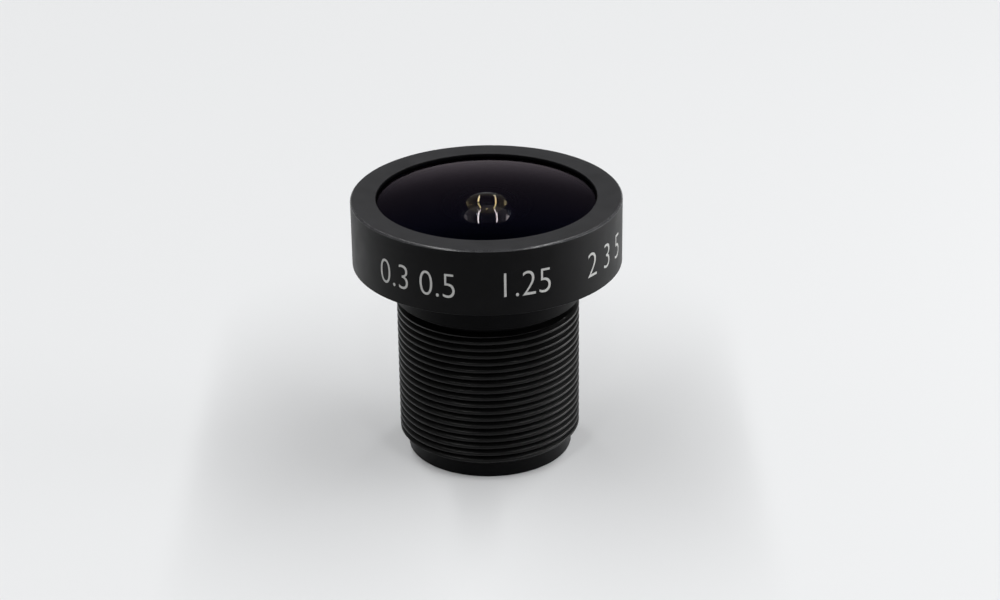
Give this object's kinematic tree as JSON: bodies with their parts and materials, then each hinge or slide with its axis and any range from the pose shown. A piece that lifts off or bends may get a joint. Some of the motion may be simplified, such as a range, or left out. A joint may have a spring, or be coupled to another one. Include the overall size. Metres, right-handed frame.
{
  "type": "wide-angle camera lens with a small threaded barrel",
  "caption": "Small black wide-angle lens for an action camera: threaded barrel, wide front cap and domed front glass.",
  "frame": {"origin": "centre of the barrel's rear face, which the lens stands on", "axes": "+Z along the optical axis from the rear face to the front glass"},
  "size_m": [0.0175, 0.0174, 0.0183],
  "materials": {
    "black_anodised": "satin black anodised, turned",
    "coated_glass": "polished, anti-reflection coated",
    "filter_glass": "polished, infrared-cut coated",
    "black_film": "matt black film",
    "seal_rubber": "smooth black rubber"
  },
  "bodies": {
    "root": {"barrel": "black_anodised", "front_cap": "black_anodised", "front_seal": "seal_rubber", "front_element": "coated_glass", "front_shield": "black_film", "second_element": "coated_glass", "second_shield": "black_film", "third_element": "coated_glass", "third_spacer": "black_anodised", "aperture_stop": "black_film", "stop_spacer": "black_anodised", "fourth_element": "coated_glass", "fourth_spacer": "black_anodised", "pair_front_element": "coated_glass", "pair_rear_element": "coated_glass", "pair_spacer": "black_anodised", "rear_element": "coated_glass", "rear_shield": "black_film", "rear_retaining_ring": "black_anodised", "infrared_filter": "filter_glass"}
  },
  "joints": []
}
